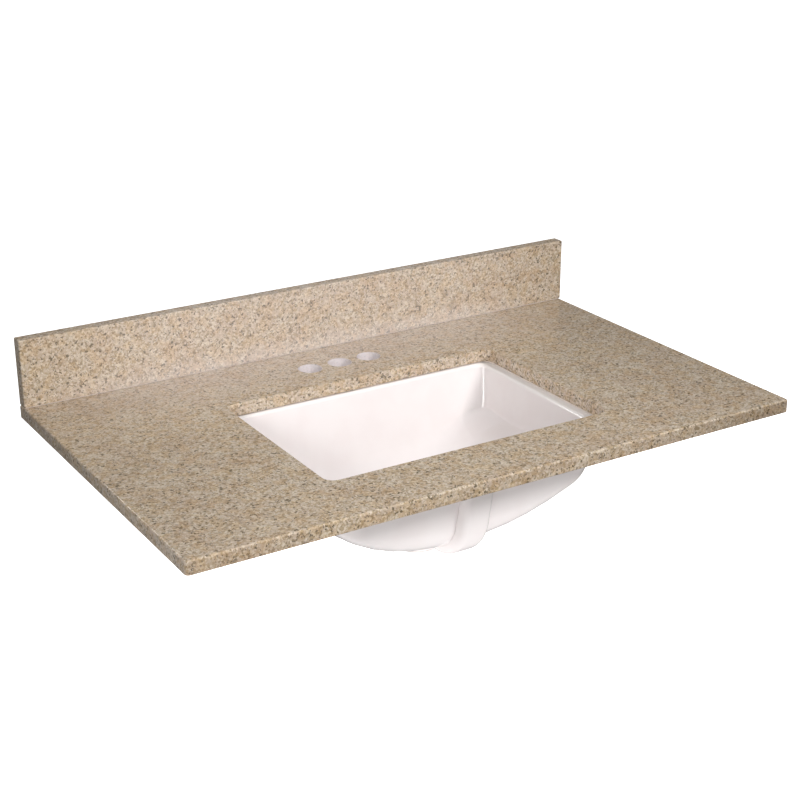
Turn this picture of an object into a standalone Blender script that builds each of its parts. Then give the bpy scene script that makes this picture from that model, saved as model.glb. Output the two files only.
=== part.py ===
"""Vanity sink top: a stone slab with a backsplash along its rear and a china bowl clipped under its cut-out.

Lengths are in metres, +X runs to the right, +Y towards the wall and +Z up. The origin lies on the slab's
underside, midway along its width, over the middle of the cabinet's back rail.
"""

import math

import bmesh
import bpy
from mathutils import Vector

# Stone slab
TOP_LENGTH = 0.9398
STONE_THICKNESS = 0.01905
FRONT_CORNER_RADIUS = 0.006
ARRIS_RADIUS = 0.003
ARRIS_STEPS = 3
CORNER_STEPS = 6
REAR_REST_INSET = 0.0095

# Cut-out for the bowl
CUTOUT_LENGTH = 0.4509
CUTOUT_WIDTH = 0.2985
CUTOUT_SETBACK = 0.1029
CUTOUT_CORNER_RADIUS = 0.016
CUTOUT_ARRIS = 0.0012

# Faucet holes, a centreset row between the cut-out and the wall
FAUCET_HOLE_STANDOFF = 0.0685
FAUCET_HOLE_DIAMETER = 0.035
FAUCET_HOLE_SPACING = 0.0508
FAUCET_HOLE_SETBACK = 0.0889
FAUCET_HOLE_PLACES = (-1, 0, 1)
HOLE_SIDES = 40

# Backsplash
SPLASH_HEIGHT = 0.1
SPLASH_THICKNESS = 0.01905
SPLASH_END_SETBACK = 0.0003
SPLASH_ARRIS_RADIUS = 0.002

# Sealant beds
SPLASH_BED_THICKNESS = 0.001
SPLASH_BED_SETBACK = 0.0015
BASIN_BED_THICKNESS = 0.002
BASIN_BED_SETBACK = 0.001
BASIN_BED_WIDTH = 0.009

# China bowl
CHINA_THICKNESS = 0.0095
END_LEDGE = 0.007
STONE_OVERHANG = 0.005
LIP_RADIUS = 0.006
WALL_DRAFT = math.radians(10.5)
BOWL_DEPTH = 0.137
BOTTOM_FILLET_RADIUS = 0.05
FLOOR_FALL = 0.005
END_DEPTH = 0.065
END_FILLET_RADIUS = 0.012
END_SLOPE = math.radians(47)
CAMBER_POWER = 2.5
RIM_CORNER_RADIUS = 0.013
WALL_TOP_CORNER_RADIUS = 0.016
WALL_FOOT_CORNER_RADIUS = 0.034
FLOOR_CORNER_RADIUS = 0.04
CORNER_LIMIT_SHARE = 0.9
FLANGE_REACH = 0.025
FLANGE_THICKNESS = 0.012
FLANGE_CORNER_RADIUS = 0.032
FLANGE_ARRIS = 0.002
FLANGE_ROOT_FILLET = 0.005

# Drain outlet of the bowl
DRAIN_HOLE_DIAMETER = 0.045
DRAIN_SEAT_DIAMETER = 0.062
DRAIN_SEAT_STEP = 0.0025
DRAIN_EDGE_ROUND = 0.001
THROAT_LENGTH = 0.042
BOSS_DIAMETER = 0.076
BOSS_FILLET = 0.006
BOSS_ARRIS = 0.002

# Overflow of the bowl, cast in its front wall
OVERFLOW_SLOT_LENGTH = 0.042
OVERFLOW_SLOT_HEIGHT = 0.011
OVERFLOW_SLOT_DROP = 0.04
DUCT_WIDTH = 0.038
DUCT_DEPTH = 0.012
DUCT_SKIN = 0.006
DUCT_HEADROOM = 0.004
DUCT_CASING = 0.006

# Facets of the bowl
BOWL_CORNER_STEPS = 6
BOWL_SIDE_STEPS = 5
LIP_STEPS = 3
FILLET_STEPS = 6
FLOOR_STEPS = 5
DUCT_FLOOR_STEPS = 4
DUCT_SECTION_STEPS = 3

# Anchors and studs that hold the bowl
CLIP_SPREAD = 0.3
STUD_STANDOFF = 0.011
STUD_DIAMETER = 0.0062
THREAD_CLEARANCE = 0.0004
ANCHOR_DIAMETER = 0.0095
ANCHOR_LENGTH = 0.012
ANCHOR_HOLE_DEPTH = 0.0127
THREAD_PITCH = 0.00127
BACK_OFF_TURNS = 5
ROUND_SIDES = 16

# Bowl clips
CLIP_STRAP_WIDTH = 0.02
CLIP_STRAP_THICKNESS = 0.0025
CLIP_TOE_REACH = 0.0105
CLIP_HEEL_REACH = 0.014
CLIP_BEND_RADIUS = 0.0035
CLIP_SLOT_LENGTH = 0.011
CLIP_SLOT_CLEARANCE = 0.0004
BEND_STEPS = 4

# Washers and wing nuts
WASHER_DIAMETER = 0.016
WASHER_THICKNESS = 0.0015
NUT_HUB_DIAMETER = 0.0115
NUT_HUB_NOSE_DIAMETER = 0.0095
NUT_HUB_HEIGHT = 0.007
WING_SPAN = 0.028
WING_HEIGHT = 0.012
WING_THICKNESS = 0.0022
WING_TIP_ROUND = 0.0035
WING_ROOT_SINK = 0.0015

# Fit of one piece to the next, and how far a cutter runs past what it cuts
GAP = 0.0003
OVERRUN = 0.004

BACK_EDGE = REAR_REST_INSET
TOP_DEPTH = CUTOUT_SETBACK + CUTOUT_WIDTH + FAUCET_HOLE_STANDOFF + FAUCET_HOLE_SETBACK
FRONT_EDGE = BACK_EDGE - TOP_DEPTH
BOWL_CENTRE_Y = FRONT_EDGE + CUTOUT_SETBACK + CUTOUT_WIDTH / 2
FLANGE_TOP = -(GAP + BASIN_BED_THICKNESS + GAP)
FLANGE_FOOT = FLANGE_TOP - FLANGE_THICKNESS
FLOOR_LEVEL = FLANGE_TOP - BOWL_DEPTH
END_LEVEL = FLANGE_TOP - END_DEPTH
SEAT_LEVEL = FLOOR_LEVEL - FLOOR_FALL - DRAIN_SEAT_STEP
BOSS_FOOT = SEAT_LEVEL - THROAT_LENGTH
STRAP_TOP = FLANGE_FOOT - GAP
STRAP_FOOT = STRAP_TOP - CLIP_STRAP_THICKNESS
WASHER_TOP = STRAP_FOOT - GAP
WASHER_FOOT = WASHER_TOP - WASHER_THICKNESS
NUT_TOP = WASHER_FOOT - GAP
STUD_FOOT = NUT_TOP - NUT_HUB_HEIGHT - BACK_OFF_TURNS * THREAD_PITCH


def clear_scene():
    for old in list(bpy.data.objects):
        bpy.data.objects.remove(old, do_unlink=True)


def finish(name, colour, roughness, metallic=0.0):
    """A plain Principled finish."""
    material = bpy.data.materials.new(name)
    material.use_nodes = True
    shader = material.node_tree.nodes["Principled BSDF"]
    shader.inputs["Base Color"].default_value = (*colour, 1)
    shader.inputs["Roughness"].default_value = roughness
    shader.inputs["Metallic"].default_value = metallic
    return material


def mesh_of(name, bm, crease=math.radians(30)):
    """Turns a bmesh into a mesh with outward faces, smooth except across creases."""
    bmesh.ops.recalc_face_normals(bm, faces=bm.faces)
    mesh = bpy.data.meshes.new(name)
    bm.to_mesh(mesh)
    bm.free()
    mesh.shade_smooth()
    mesh.set_sharp_from_angle(angle=crease)
    return mesh


def place(name, mesh, material=None, location=(0, 0, 0), turn=0.0):
    """Puts a mesh in the scene under a name, turned about Z."""
    item = bpy.data.objects.new(name, mesh)
    item.location = location
    item.rotation_euler = (0, 0, turn)
    if material and not mesh.materials:
        mesh.materials.append(material)
    bpy.context.scene.collection.objects.link(item)
    return item


def guide(name, mesh):
    """A shape that only cuts or joins another, never a part of its own."""
    item = place(name, mesh)
    item.hide_render = True
    item.display_type = "WIRE"
    return item


def combine(target, other, operation):
    step = target.modifiers.new(other.name, "BOOLEAN")
    step.operation = operation
    step.solver = "EXACT"
    step.object = other


def rings_bmesh(rings, closed=False):
    """Skins a run of equal rings, capped at both ends or closed round to the first ring."""
    bm = bmesh.new()
    loops = [[bm.verts.new(point) for point in ring] for ring in rings]
    pairs = list(zip(loops, loops[1:]))
    if closed:
        pairs.append((loops[-1], loops[0]))
    else:
        bm.faces.new(loops[0])
        bm.faces.new(loops[-1])
    for near, far in pairs:
        count = len(near)
        for i in range(count):
            j = (i + 1) % count
            bm.faces.new((near[i], near[j], far[j], far[i]))
    return bm


def level(outline, height):
    """Lifts a flat outline to a height."""
    return [Vector((x, y, height)) for x, y in outline]


def prism(name, outline, foot, top):
    return mesh_of(name, rings_bmesh([level(outline, foot), level(outline, top)]))


def arc(centre, radius, start, end, steps):
    """Points along an arc, both ends included, angles counted from +X."""
    angles = [start + (end - start) * i / steps for i in range(steps + 1)]
    return [(centre[0] + radius * math.cos(a), centre[1] + radius * math.sin(a)) for a in angles]


def circle(radius, sides, centre=(0, 0)):
    return arc(centre, radius, 0, math.tau * (sides - 1) / sides, sides - 1)


def rounded_rectangle(half_x, half_y, radius, corner_steps=CORNER_STEPS, side_steps=0, centre_y=0.0):
    """Outline of a rectangle with round corners, with extra points spread along each straight side."""
    points = []
    for corner, (sx, sy) in enumerate(((1, 1), (-1, 1), (-1, -1), (1, -1))):
        centre = (sx * (half_x - radius), centre_y + sy * (half_y - radius))
        start = corner * math.pi / 2
        bend = arc(centre, radius, start, start + math.pi / 2, corner_steps)
        if points:
            points += spread(points[-1], bend[0], side_steps)
        points += bend
    return points + spread(points[-1], points[0], side_steps)


def spread(start, end, count):
    """Points that divide a straight line evenly, its ends left out."""
    shares = [(i + 1) / (count + 1) for i in range(count)]
    return [(start[0] + (end[0] - start[0]) * s, start[1] + (end[1] - start[1]) * s) for s in shares]


def cylinder_mesh(name, radius, foot, top, sides=ROUND_SIDES, centre=(0, 0)):
    return prism(name, circle(radius, sides, centre), foot, top)


def ease(bm, offset, steps, wanted):
    """Rounds each edge whose ends pass the test."""
    edges = [edge for edge in bm.edges if wanted(*(v.co for v in edge.verts))]
    bmesh.ops.bevel(bm, geom=edges, offset=offset, segments=steps, profile=0.5, affect="EDGES")


def slab_outline():
    """Square at the wall, with a small round at each front corner."""
    half = TOP_LENGTH / 2
    r = FRONT_CORNER_RADIUS
    left = arc((r - half, FRONT_EDGE + r), r, math.pi, math.pi * 3 / 2, CORNER_STEPS)
    right = arc((half - r, FRONT_EDGE + r), r, math.pi * 3 / 2, math.tau, CORNER_STEPS)
    return [(-half, BACK_EDGE), *left, *right, (half, BACK_EDGE)]


def cutout_cutter():
    """The bowl's cut-out, which flares over its eased top arris."""
    def outline(flare):
        return rounded_rectangle(
            CUTOUT_LENGTH / 2 + flare,
            CUTOUT_WIDTH / 2 + flare,
            CUTOUT_CORNER_RADIUS + flare,
            centre_y=BOWL_CENTRE_Y,
        )

    flared = CUTOUT_ARRIS + OVERRUN
    rings = [
        level(outline(0), -OVERRUN),
        level(outline(0), STONE_THICKNESS - CUTOUT_ARRIS),
        level(outline(flared), STONE_THICKNESS + OVERRUN),
    ]
    return guide("cutout_guide", mesh_of("cutout_guide", rings_bmesh(rings)))


def faucet_hole_cutters():
    y = BACK_EDGE - FAUCET_HOLE_SETBACK
    radius = FAUCET_HOLE_DIAMETER / 2
    top = STONE_THICKNESS + OVERRUN
    for number, place_in_row in enumerate(FAUCET_HOLE_PLACES, 1):
        name = f"faucet_hole_guide_{number}"
        centre = (place_in_row * FAUCET_HOLE_SPACING, y)
        yield guide(name, cylinder_mesh(name, radius, -OVERRUN, top, HOLE_SIDES, centre))


def clip_places():
    """Name, stud position and turn of each clip, whose toe points at the bowl."""
    reach = CUTOUT_WIDTH / 2 + FLANGE_REACH + STUD_STANDOFF
    for row, side, turn in (("front", -1, 0.0), ("rear", 1, math.pi)):
        for end, across in (("left", -1), ("right", 1)):
            yield f"{row}_{end}", (across * CLIP_SPREAD / 2, BOWL_CENTRE_Y + side * reach, 0), turn


def anchor_hole_cutters():
    for where, (x, y, _), _ in clip_places():
        name = f"anchor_hole_guide_{where}"
        radius = ANCHOR_DIAMETER / 2 + GAP
        yield guide(name, cylinder_mesh(name, radius, -OVERRUN, ANCHOR_HOLE_DEPTH, ROUND_SIDES, (x, y)))


def make_slab(stone):
    outline = slab_outline()
    bm = rings_bmesh([level(outline, 0), level(outline, STONE_THICKNESS)])

    def on_top_and_clear_of_the_wall(a, b):
        return min(a.z, b.z) > STONE_THICKNESS / 2 and min(a.y, b.y) < BACK_EDGE - ARRIS_RADIUS

    ease(bm, ARRIS_RADIUS, ARRIS_STEPS, on_top_and_clear_of_the_wall)
    slab = place("stone_slab", mesh_of("stone_slab", bm), stone)
    combine(slab, cutout_cutter(), "DIFFERENCE")
    for cutter in (*faucet_hole_cutters(), *anchor_hole_cutters()):
        combine(slab, cutter, "DIFFERENCE")


def box_outline(low_x, high_x, low_y, high_y):
    return [(low_x, low_y), (high_x, low_y), (high_x, high_y), (low_x, high_y)]


def make_backsplash(stone, sealant):
    """The stone strip along the wall, and the thin bed that it stands on."""
    half = TOP_LENGTH / 2 - SPLASH_END_SETBACK
    front = BACK_EDGE - SPLASH_THICKNESS
    bed_foot = STONE_THICKNESS + GAP
    foot = bed_foot + SPLASH_BED_THICKNESS + GAP
    outline = box_outline(-half, half, front, BACK_EDGE)
    bm = rings_bmesh([level(outline, foot), level(outline, foot + SPLASH_HEIGHT)])

    def on_top_or_upright_at_the_front(a, b):
        upright = abs(a.z - b.z) > SPLASH_HEIGHT / 2
        at_wall = min(a.y, b.y) > front + SPLASH_THICKNESS / 2
        on_top = min(a.z, b.z) > foot + SPLASH_HEIGHT / 2
        return (on_top or upright) and not at_wall

    ease(bm, SPLASH_ARRIS_RADIUS, ARRIS_STEPS, on_top_or_upright_at_the_front)
    place("backsplash", mesh_of("backsplash", bm), stone)

    inset = SPLASH_BED_SETBACK
    bed = box_outline(inset - half, half - inset, front + inset, BACK_EDGE - inset)
    mesh = prism("backsplash_sealant", bed, bed_foot, bed_foot + SPLASH_BED_THICKNESS)
    place("backsplash_sealant", mesh, sealant)


def make_basin_sealant(sealant):
    """The bead between the slab's underside and the bowl's flange, clear of the cut-out and of the bowl's lip."""
    def outline(outset):
        return rounded_rectangle(
            CUTOUT_LENGTH / 2 + outset,
            CUTOUT_WIDTH / 2 + STONE_OVERHANG + outset,
            CUTOUT_CORNER_RADIUS + outset,
            centre_y=BOWL_CENTRE_Y,
        )

    inner = outline(BASIN_BED_SETBACK)
    outer = outline(BASIN_BED_SETBACK + BASIN_BED_WIDTH)
    top = -GAP
    foot = top - BASIN_BED_THICKNESS
    rings = [level(inner, foot), level(inner, top), level(outer, top), level(outer, foot)]
    place("basin_sealant", mesh_of("basin_sealant", rings_bmesh(rings, closed=True)), sealant)


def bowl_ring(inset, height, corner_radius, end_inset=None, end_height=None, lean=0.0):
    """A ring of the bowl, drawn in from the lip's edge, its corners held to the room they have.

    It runs at one height along the middle and rises to another at the bowl's ends, where it leans out as well.
    """
    end_inset = inset if end_inset is None else end_inset
    end_height = height if end_height is None else end_height
    half_x = CUTOUT_LENGTH / 2 - END_LEDGE - end_inset
    half_y = CUTOUT_WIDTH / 2 + STONE_OVERHANG - inset
    radius = min(corner_radius, half_x * CORNER_LIMIT_SHARE, half_y * CORNER_LIMIT_SHARE)
    ring = []
    for x, y in rounded_rectangle(half_x, half_y, radius, BOWL_CORNER_STEPS, BOWL_SIDE_STEPS):
        share = min(abs(x) / half_x, 1) ** CAMBER_POWER
        ring.append(Vector((x, y + math.copysign(lean * share, y), between(height, end_height, share))))
    return ring


def round_ring(radius, height):
    """A round ring with as many points as the bowl's rings, each facing the same way as its fellow there."""
    count = 4 * (BOWL_CORNER_STEPS + 1 + BOWL_SIDE_STEPS)
    lead = BOWL_SIDE_STEPS / 2 + 1 / 2
    angles = [math.tau * (i + lead) / count for i in range(count)]
    return [Vector((radius * math.cos(a), radius * math.sin(a), height)) for a in angles]


def blend(ring, other, share):
    return [a.lerp(b, share) for a, b in zip(ring, other)]


def between(start, end, share):
    return start + (end - start) * share


def wall_inset(height):
    """How far the bowl's inner wall lies inside the lip's edge at a height."""
    lip_turn = math.pi / 2 - WALL_DRAFT
    lip_foot = FLANGE_TOP - LIP_RADIUS + LIP_RADIUS * math.cos(lip_turn)
    return LIP_RADIUS * math.sin(lip_turn) + (lip_foot - height) * math.tan(WALL_DRAFT)


def bottom_fillet():
    """Radius of the fillet under the long walls, small enough to leave room for the drain's boss."""
    room = CUTOUT_WIDTH / 2 + STONE_OVERHANG - wall_inset(FLOOR_LEVEL) - BOSS_DIAMETER / 2 - BOSS_FILLET
    reach = math.cos(WALL_DRAFT) - (1 - math.sin(WALL_DRAFT)) * math.tan(WALL_DRAFT)
    return min(BOTTOM_FILLET_RADIUS, room / reach)


def bend_point(share, radius, foot_turn, foot_height, outset):
    """A point of a fillet, from the wall at 0 to the floor at 1, moved outwards, as inset and height."""
    centre_height = foot_height + radius * math.sin(foot_turn)
    centre_inset = wall_inset(centre_height - radius * math.sin(WALL_DRAFT)) + radius * math.cos(WALL_DRAFT)
    turn = between(WALL_DRAFT, foot_turn, share)
    reach = radius + outset
    return centre_inset - reach * math.cos(turn), centre_height - reach * math.sin(turn)


def fillet_point(share, outset=0.0):
    """A point of the large fillet under the front or rear wall, at the middle of the bowl's length."""
    return bend_point(share, bottom_fillet(), math.pi / 2, FLOOR_LEVEL, outset)


def end_point(share, outset=0.0):
    """A point of the tight bend where an end wall turns into the steep end of the floor."""
    return bend_point(share, END_FILLET_RADIUS, math.pi / 2 - END_SLOPE, END_LEVEL, outset)


def fillet_rings(outset):
    lean = (end_point(0)[1] - fillet_point(0)[1]) * math.tan(WALL_DRAFT)
    rings = []
    for i in range(FILLET_STEPS + 1):
        share = i / FILLET_STEPS
        corner = between(WALL_FOOT_CORNER_RADIUS, FLOOR_CORNER_RADIUS, share) + outset * (1 - share)
        rings.append(bowl_ring(*fillet_point(share, outset), corner, *end_point(share, outset), lean))
    return rings


def floor_rings(outset, round_radius, steps):
    """Rings from the fillets' foot to a round one, steep at the bowl's ends and flatter towards the drain."""
    edge = fillet_rings(outset)[-1]
    centre = round_ring(round_radius, fillet_point(1, outset)[1] - FLOOR_FALL)
    rings = []
    for i in range(steps):
        share = (i + 1) / steps
        ring = blend(edge, centre, share)
        for point, start, end in zip(ring, edge, centre):
            point.z = between(end.z, start.z, (1 - share) ** CAMBER_POWER)
        rings.append(ring)
    return rings


def lip_rings():
    """The rounded arris where the flange's top turns down into the wall."""
    rings = []
    for i in range(LIP_STEPS + 1):
        share = i / LIP_STEPS
        turn = (math.pi / 2 - WALL_DRAFT) * share
        inset = LIP_RADIUS * math.sin(turn)
        height = FLANGE_TOP - LIP_RADIUS * (1 - math.cos(turn))
        corner = between(RIM_CORNER_RADIUS, WALL_TOP_CORNER_RADIUS, share)
        rings.append(bowl_ring(inset, height, corner))
    return rings


def flange_ring(inset, height):
    """A ring of the flange, drawn in from its outer edge."""
    half_x = CUTOUT_LENGTH / 2 + FLANGE_REACH - inset
    half_y = CUTOUT_WIDTH / 2 + FLANGE_REACH - inset
    corner = FLANGE_CORNER_RADIUS - inset
    return level(rounded_rectangle(half_x, half_y, corner, BOWL_CORNER_STEPS, BOWL_SIDE_STEPS), height)


def flange_rings():
    return [
        flange_ring(FLANGE_ARRIS, FLANGE_TOP),
        flange_ring(0, FLANGE_TOP - FLANGE_ARRIS),
        flange_ring(0, FLANGE_FOOT + FLANGE_ARRIS),
        flange_ring(FLANGE_ARRIS, FLANGE_FOOT),
    ]


def flange_root_rings():
    """The fillet under the flange, where it meets the outside of the wall."""
    foot = FLANGE_FOOT - FLANGE_ROOT_FILLET
    outset = CHINA_THICKNESS / math.cos(WALL_DRAFT)
    corner = WALL_TOP_CORNER_RADIUS + CHINA_THICKNESS
    inset = wall_inset(foot) - outset
    half = FLANGE_ROOT_FILLET * (1 - math.cos(math.pi / 4))
    return [
        bowl_ring(inset - FLANGE_ROOT_FILLET, FLANGE_FOOT, corner + FLANGE_ROOT_FILLET),
        bowl_ring(inset - half, FLANGE_FOOT - half, corner + half),
        bowl_ring(inset, foot, corner),
    ]


def outlet_rings():
    """The drain's boss, throat and seat, from the floor's underside up to the seat's edge."""
    boss = BOSS_DIAMETER / 2
    hole = DRAIN_HOLE_DIAMETER / 2
    seat = DRAIN_SEAT_DIAMETER / 2
    underside = FLOOR_LEVEL - CHINA_THICKNESS - FLOOR_FALL
    return [
        round_ring(boss, underside - BOSS_FILLET),
        round_ring(boss, BOSS_FOOT + BOSS_ARRIS),
        round_ring(boss - BOSS_ARRIS, BOSS_FOOT),
        round_ring(hole, BOSS_FOOT),
        round_ring(hole, SEAT_LEVEL - DRAIN_EDGE_ROUND),
        round_ring(hole + DRAIN_EDGE_ROUND, SEAT_LEVEL),
        round_ring(seat - DRAIN_EDGE_ROUND, SEAT_LEVEL),
    ]


def basin_rings():
    inner_floor = floor_rings(0.0, DRAIN_SEAT_DIAMETER / 2, FLOOR_STEPS)
    outer_floor = floor_rings(CHINA_THICKNESS, BOSS_DIAMETER / 2 + BOSS_FILLET, FLOOR_STEPS)
    return [
        *reversed(inner_floor),
        *reversed(fillet_rings(0.0)),
        *reversed(lip_rings()),
        *flange_rings(),
        *flange_root_rings(),
        *fillet_rings(CHINA_THICKNESS),
        *outer_floor,
        *outlet_rings(),
    ]


def duct_path(headroom, end_radius):
    """Centre line of the overflow duct, as depth and height, down the front wall and under the floor."""
    offset = DUCT_SKIN + DUCT_DEPTH / 2
    top = FLANGE_TOP - OVERFLOW_SLOT_DROP + OVERFLOW_SLOT_HEIGHT / 2 + headroom
    half = CUTOUT_WIDTH / 2 + STONE_OVERHANG
    start = wall_inset(top) - offset / math.cos(WALL_DRAFT)
    path = [(start - half, top)]
    for i in range(FILLET_STEPS + 1):
        inset, height = fillet_point(i / FILLET_STEPS, offset)
        path.append((inset - half, height))
    floor_start = path[-1]
    floor_end = (-DRAIN_SEAT_DIAMETER / 2, floor_start[1] - FLOOR_FALL)
    for i in range(DUCT_FLOOR_STEPS):
        share = (i + 1) / DUCT_FLOOR_STEPS
        depth = between(floor_start[0], floor_end[0], share)
        path.append((depth, between(floor_start[1], floor_end[1], share)))
    path.append((-end_radius, floor_end[1]))
    return path


def swept_duct(name, path, width, depth):
    """A flat duct with round edges, swept along a centre line in the plane X = 0."""
    section = rounded_rectangle(width / 2, depth / 2, depth / 2, DUCT_SECTION_STEPS)
    rings = []
    for i, (y, z) in enumerate(path):
        before = path[max(i - 1, 0)]
        after = path[min(i + 1, len(path) - 1)]
        run = Vector((0, after[0] - before[0], after[1] - before[1])).normalized()
        outwards = Vector((1, 0, 0)).cross(run)
        rings.append([Vector((across, y, z)) + outwards * out for across, out in section])
    item = guide(name, mesh_of(name, rings_bmesh(rings)))
    item.location.y = BOWL_CENTRE_Y
    return item


def overflow_slot():
    """The slot through the bowl's front wall into the duct."""
    height = FLANGE_TOP - OVERFLOW_SLOT_DROP
    half = OVERFLOW_SLOT_HEIGHT / 2
    section = rounded_rectangle(OVERFLOW_SLOT_LENGTH / 2, half, half, DUCT_SECTION_STEPS)
    inner_face = BOWL_CENTRE_Y - CUTOUT_WIDTH / 2 - STONE_OVERHANG + wall_inset(height)
    reach = DUCT_SKIN + DUCT_DEPTH / 2
    ends = (inner_face - reach, inner_face + OVERRUN)
    rings = [[Vector((across, y, height + up)) for across, up in section] for y in ends]
    return guide("overflow_slot_guide", mesh_of("overflow_slot_guide", rings_bmesh(rings)))


def make_basin(china):
    basin = place("basin", mesh_of("basin", rings_bmesh(basin_rings(), closed=True)), china)
    basin.location.y = BOWL_CENTRE_Y
    middle_of_boss_wall = (BOSS_DIAMETER + DRAIN_HOLE_DIAMETER) / 4
    casing_path = duct_path(DUCT_HEADROOM + DUCT_CASING, middle_of_boss_wall)
    casing_width = DUCT_WIDTH + 2 * DUCT_CASING
    # The casing stays just behind the bowl's inner face
    casing_depth = DUCT_DEPTH + 2 * DUCT_CASING - GAP
    casing = swept_duct("overflow_casing_guide", casing_path, casing_width, casing_depth)
    combine(basin, casing, "UNION")
    duct = swept_duct("overflow_duct_guide", duct_path(DUCT_HEADROOM, 0.0), DUCT_WIDTH, DUCT_DEPTH)
    combine(basin, duct, "DIFFERENCE")
    combine(basin, overflow_slot(), "DIFFERENCE")


def tube_mesh(name, outer, inner, foot, top):
    """A round tube or washer."""
    rings = [
        level(circle(inner, ROUND_SIDES), foot),
        level(circle(inner, ROUND_SIDES), top),
        level(circle(outer, ROUND_SIDES), top),
        level(circle(outer, ROUND_SIDES), foot),
    ]
    return mesh_of(name, rings_bmesh(rings, closed=True))


def clip_profile():
    """Side view of a clip as depth and height: a strap under the flange, its heel turned up to the slab."""
    toe = STUD_STANDOFF + CLIP_TOE_REACH
    heel = -CLIP_HEEL_REACH
    t = CLIP_STRAP_THICKNESS
    outer = CLIP_BEND_RADIUS
    inner = outer - t
    centre = (heel + outer, STRAP_FOOT + outer)
    outside = arc(centre, outer, -math.pi / 2, -math.pi, BEND_STEPS)
    inside = arc(centre, inner, -math.pi, -math.pi / 2, BEND_STEPS)
    return [(toe, STRAP_TOP), (toe, STRAP_FOOT), *outside, (heel, -GAP), (heel + t, -GAP), *inside]


def clip_mesh():
    half = CLIP_STRAP_WIDTH / 2
    profile = clip_profile()
    rings = [[Vector((x, y, z)) for y, z in profile] for x in (-half, half)]
    return mesh_of("clip", rings_bmesh(rings))


def clip_slot_mesh():
    radius = STUD_DIAMETER / 2 + CLIP_SLOT_CLEARANCE
    outline = rounded_rectangle(radius, CLIP_SLOT_LENGTH / 2, radius)
    return prism("clip_slot", outline, STRAP_FOOT - OVERRUN, STRAP_TOP + OVERRUN)


def wing_outline():
    """One wing of the nut in side view, as reach and depth below the nut's seat."""
    root = NUT_HUB_NOSE_DIAMETER / 2 - WING_ROOT_SINK
    tip = WING_SPAN / 2
    r = WING_TIP_ROUND
    rise = NUT_HUB_HEIGHT / 3
    bend = arc((tip - r, WING_HEIGHT - r), r, 0, math.pi * 3 / 4, CORNER_STEPS)
    return [(root, rise), (tip, WING_HEIGHT - 2 * r), *bend, (root, NUT_HUB_HEIGHT)]


def wing_mesh(side):
    half = WING_THICKNESS / 2
    outline = wing_outline()
    rings = [[Vector((side * x, y, NUT_TOP - depth)) for x, depth in outline] for y in (-half, half)]
    return mesh_of("wing", rings_bmesh(rings))


def nut_hub_mesh():
    hub = NUT_HUB_DIAMETER / 2
    nose = NUT_HUB_NOSE_DIAMETER / 2
    foot = NUT_TOP - NUT_HUB_HEIGHT
    rings = [level(circle(hub, ROUND_SIDES), NUT_TOP), level(circle(nose, ROUND_SIDES), foot)]
    return mesh_of("wing_nut", rings_bmesh(rings))


def make_clip_sets(brass, steel):
    """Near each corner of the bowl, an anchor in the slab, a stud, a clip, a washer and a wing nut."""
    stud_radius = STUD_DIAMETER / 2
    bore = stud_radius + THREAD_CLEARANCE
    pieces = {
        "anchor": (tube_mesh("anchor", ANCHOR_DIAMETER / 2, bore, 0, ANCHOR_LENGTH), brass),
        "stud": (cylinder_mesh("stud", stud_radius, STUD_FOOT, ANCHOR_LENGTH), steel),
        "clip": (clip_mesh(), steel),
        "washer": (tube_mesh("washer", WASHER_DIAMETER / 2, bore, WASHER_FOOT, WASHER_TOP), steel),
        "wing_nut": (nut_hub_mesh(), steel),
    }
    shapers = (
        ("clip", clip_slot_mesh(), "DIFFERENCE"),
        ("wing_nut", wing_mesh(-1), "UNION"),
        ("wing_nut", wing_mesh(1), "UNION"),
        ("wing_nut", cylinder_mesh("bore", bore, STUD_FOOT - OVERRUN, NUT_TOP + OVERRUN), "DIFFERENCE"),
    )
    for where, spot, turn in clip_places():
        station = place(f"station_{where}", None, location=spot, turn=turn)
        for name, (mesh, material) in pieces.items():
            place(f"{name}_{where}", mesh, material).parent = station
        for order, (name, mesh, operation) in enumerate(shapers):
            shaper = guide(f"{mesh.name}_guide_{order}_{where}", mesh)
            shaper.parent = station
            combine(bpy.data.objects[f"{name}_{where}"], shaper, operation)


def build():
    clear_scene()
    stone = finish("granite", (0.45, 0.35, 0.26), 0.2)
    china = finish("vitreous_china", (0.88, 0.85, 0.84), 0.08)
    sealant = finish("silicone", (0.55, 0.53, 0.5), 0.4)
    brass = finish("brass", (0.72, 0.52, 0.22), 0.35, 1.0)
    steel = finish("zinc_plated_steel", (0.62, 0.63, 0.65), 0.35, 1.0)
    make_slab(stone)
    make_backsplash(stone, sealant)
    make_basin_sealant(sealant)
    make_basin(china)
    make_clip_sets(brass, steel)


build()
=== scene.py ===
"""Vanity sink top, dressed for its picture: a granite slab and backsplash, a china bowl set under the slab's
cut-out, and the brass and steel fittings that hold the bowl up. Lengths are in metres.
"""

import math

import bmesh
import bpy
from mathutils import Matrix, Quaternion, Vector


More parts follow.
